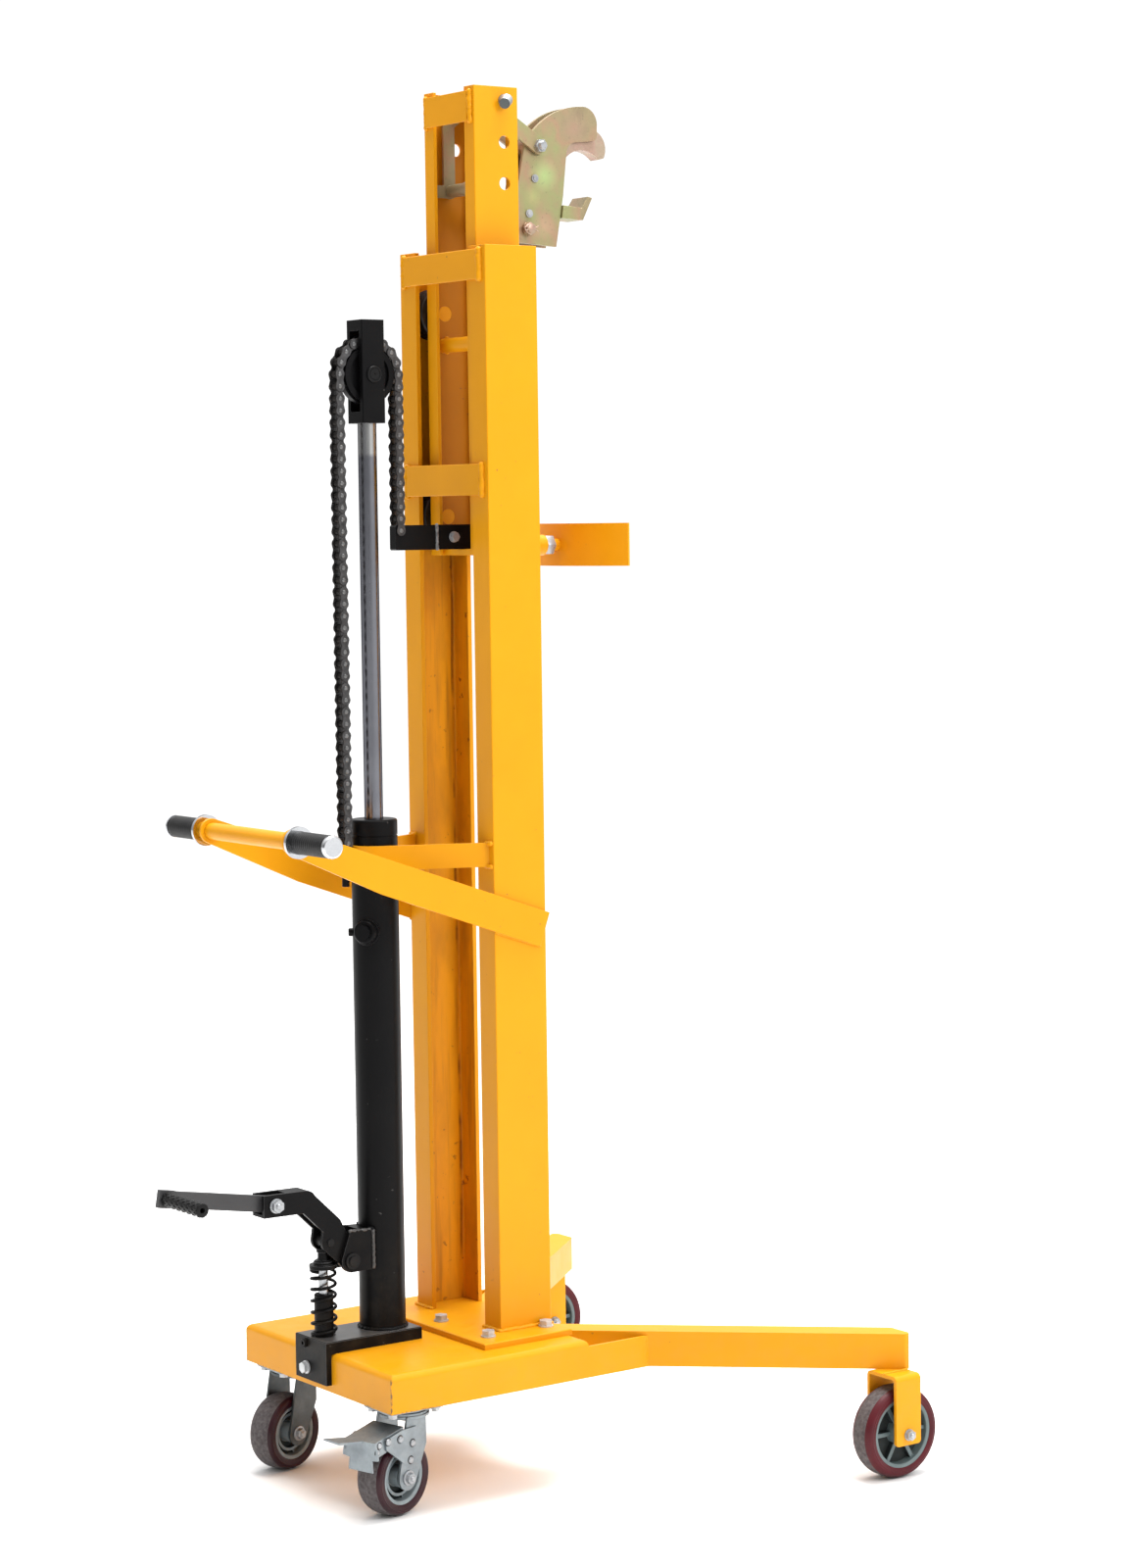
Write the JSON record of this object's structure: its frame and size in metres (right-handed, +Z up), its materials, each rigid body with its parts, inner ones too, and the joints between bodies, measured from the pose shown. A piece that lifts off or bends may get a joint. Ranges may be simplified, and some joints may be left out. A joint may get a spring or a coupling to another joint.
{
  "type": "drum trolley",
  "caption": "Foot-pumped drum trolley with splayed legs, a telescoping chain-lift mast, a push handle and a self-tightening beak that grips a drum's rim.",
  "frame": {"origin": "on the floor under the middle of the bounding box", "axes": "+X forward over the legs, +Y to the left of someone pushing, +Z up along the mast"},
  "size_m": [1.146, 1.085, 2.243],
  "materials": {
    "yellow_paint": "gloss enamel",
    "black_paint": "satin enamel",
    "zinc_plate": "bright zinc plate",
    "yellow_zinc": "yellow passivated zinc plate",
    "chain_steel": "oiled dark steel",
    "rod_chrome": "hard chrome",
    "grip_chrome": "polished",
    "grip_rubber": "ribbed",
    "polyurethane": "cast polyurethane tread on a grey plastic hub"
  },
  "bodies": {
    "chassis": {"base_deck": "yellow_paint", "leg_left": "yellow_paint", "leg_right": "yellow_paint", "fork_left": "yellow_paint", "fork_right": "yellow_paint", "front_axle_bolts": "zinc_plate", "mast_foot_plate": "yellow_paint", "deck_bolts": "zinc_plate", "mast_channel_left": "yellow_paint", "mast_channel_right": "yellow_paint", "mast_crossbars": "yellow_paint", "pump_base": "black_paint", "cylinder_tube": "black_paint", "cylinder_head": "black_paint", "cylinder_stays": "yellow_paint", "cylinder_brackets": "black_paint", "pump_barrel": "black_paint", "handle_arms": "yellow_paint", "handle_tube": "yellow_paint", "handle_grips": "grip_rubber", "grip_fittings": "grip_chrome", "chain_back_run": "chain_steel", "caster_plates": "zinc_plate", "pump_spring": "black_paint"},
    "rod": {"piston_rod": "rod_chrome", "pulley_yoke": "black_paint", "pulley_axle": "zinc_plate", "chain_wrap": "chain_steel"},
    "pulley": {"chain_pulley": "black_paint"},
    "carriage": {"inner_channel_left": "yellow_paint", "inner_channel_right": "yellow_paint", "inner_crossbars": "yellow_paint", "chain_bracket": "black_paint", "carriage_fasteners": "zinc_plate", "carriage_pins": "zinc_plate", "chain_front_run": "chain_steel", "drum_rest": "yellow_paint"},
    "rollers_upper": {"guide_rollers_upper": "chain_steel"},
    "rollers_lower": {"guide_rollers_lower": "chain_steel"},
    "grip_lever": {"grip_links": "yellow_zinc", "grip_beak": "yellow_zinc"},
    "grip_head": {"grip_head_plates": "yellow_zinc", "grip_jaw": "yellow_zinc", "grip_pins": "yellow_zinc"},
    "grip_tail": {"grip_lower_link": "yellow_zinc"},
    "caster_left": {"caster_left_fork": "zinc_plate", "caster_left_axle": "zinc_plate"},
    "caster_right": {"caster_right_fork": "zinc_plate", "caster_right_axle": "zinc_plate"},
    "brake": {"brake_pedal": "zinc_plate"},
    "caster_wheel_left": {"caster_left_wheel": "polyurethane"},
    "caster_wheel_right": {"caster_right_wheel": "polyurethane"},
    "wheel_front_left": {"front_wheel_left": "polyurethane"},
    "wheel_front_right": {"front_wheel_right": "polyurethane"},
    "lever": {"pedal_lever": "black_paint", "lever_pins": "black_paint"},
    "pedal": {"pedal_arm": "black_paint", "pedal_grip": "black_paint"},
    "plunger": {"pump_plunger": "black_paint"},
    "release": {"release_screw": "black_paint"}
  },
  "joints": [
    {"name": "carriage_slide", "type": "slide", "parent": "chassis", "child": "carriage", "axis": [0, 0, 1], "range_m": [-1.2192, 0], "deforming": ["chain_front_run"]},
    {"name": "rod_slide", "type": "slide", "parent": "chassis", "child": "rod", "axis": [0, 0, 1], "range_m": [-0.6096, 0], "deforming": ["chain_back_run"]},
    {"name": "pulley_spin", "type": "hinge", "parent": "rod", "child": "pulley", "pos_m": [-0.164, 0, 1.786], "axis": [0, 1, 0], "range_deg": [0, 645]},
    {"name": "roller_upper_spin", "type": "hinge", "parent": "carriage", "child": "rollers_upper", "pos_m": [0.033, 0, 1.89], "axis": [0, 1, 0], "range_deg": [-1700, 0]},
    {"name": "roller_lower_spin", "type": "hinge", "parent": "carriage", "child": "rollers_lower", "pos_m": [0.033, 0, 1.56], "axis": [0, 1, 0], "range_deg": [0, 1700]},
    {"name": "grip_lever_swing", "type": "hinge", "parent": "carriage", "child": "grip_lever", "pos_m": [0.059, 0, 2.221], "axis": [0, 1, 0], "range_deg": [-22, 0]},
    {"name": "grip_head_swing", "type": "hinge", "parent": "grip_lever", "child": "grip_head", "pos_m": [0.16, 0, 2.159], "axis": [0, 1, 0], "range_deg": [0, 22]},
    {"name": "grip_tail_swing", "type": "hinge", "parent": "carriage", "child": "grip_tail", "pos_m": [0.039, 0, 2.087], "axis": [0, 1, 0], "range_deg": [-22, 0]},
    {"name": "caster_left_swivel", "type": "hinge", "parent": "chassis", "child": "caster_left", "pos_m": [-0.232, 0.166, 0.16], "axis": [0, 0, 1], "continuous": true},
    {"name": "caster_right_swivel", "type": "hinge", "parent": "chassis", "child": "caster_right", "pos_m": [-0.232, -0.166, 0.16], "axis": [0, 0, 1], "continuous": true},
    {"name": "caster_left_spin", "type": "hinge", "parent": "caster_left", "child": "caster_wheel_left", "pos_m": [-0.25898, 0.15852, 0.0625], "axis": [-0.2672, 0.9636, 0], "continuous": true},
    {"name": "caster_right_spin", "type": "hinge", "parent": "caster_right", "child": "caster_wheel_right", "pos_m": [-0.25898, -0.17348, 0.0625], "axis": [-0.2672, 0.9636, 0], "continuous": true},
    {"name": "brake_press", "type": "hinge", "parent": "caster_right", "child": "brake", "pos_m": [-0.27922, -0.1791, 0.129], "axis": [-0.2672, 0.9636, 0], "range_deg": [-9, 0]},
    {"name": "front_left_spin", "type": "hinge", "parent": "chassis", "child": "wheel_front_left", "pos_m": [0.49803, 0.49497, 0.075], "axis": [0, 1, 0], "continuous": true},
    {"name": "front_right_spin", "type": "hinge", "parent": "chassis", "child": "wheel_front_right", "pos_m": [0.49803, -0.49497, 0.075], "axis": [0, 1, 0], "continuous": true},
    {"name": "pedal_press", "type": "hinge", "parent": "chassis", "child": "lever", "pos_m": [-0.236, 0, 0.374], "axis": [0, 1, 0], "range_deg": [-24, 0], "stiffness_Nm_per_rad": 60, "springref_deg": 17.19},
    {"name": "plunger_slide", "type": "slide", "parent": "chassis", "child": "plunger", "axis": [0, 0, 1], "range_m": [-0.0174, 0], "deforming": ["pump_spring"]},
    {"name": "pedal_fold", "type": "hinge", "parent": "lever", "child": "pedal", "pos_m": [-0.37, 0, 0.479], "axis": [0, 1, 0], "range_deg": [0, 85]},
    {"name": "release_turn", "type": "hinge", "parent": "chassis", "child": "release", "pos_m": [-0.301, 0.016, 0.243], "axis": [1, 0, 0], "range_deg": [0, 180]}
  ],
  "couplings": [
    {"joint": "rod_slide", "follows": "carriage_slide", "ratio": 0.5},
    {"joint": "pulley_spin", "follows": "carriage_slide", "rad_per_m": -9.1155},
    {"joint": "roller_upper_spin", "follows": "carriage_slide", "rad_per_m": 24.096},
    {"joint": "roller_lower_spin", "follows": "carriage_slide", "rad_per_m": -24.096},
    {"joint": "grip_head_swing", "follows": "grip_lever_swing", "ratio": -1},
    {"joint": "grip_tail_swing", "follows": "grip_lever_swing", "ratio": 1},
    {"joint": "plunger_slide", "follows": "pedal_press", "m_per_rad": 0.040799}
  ]
}
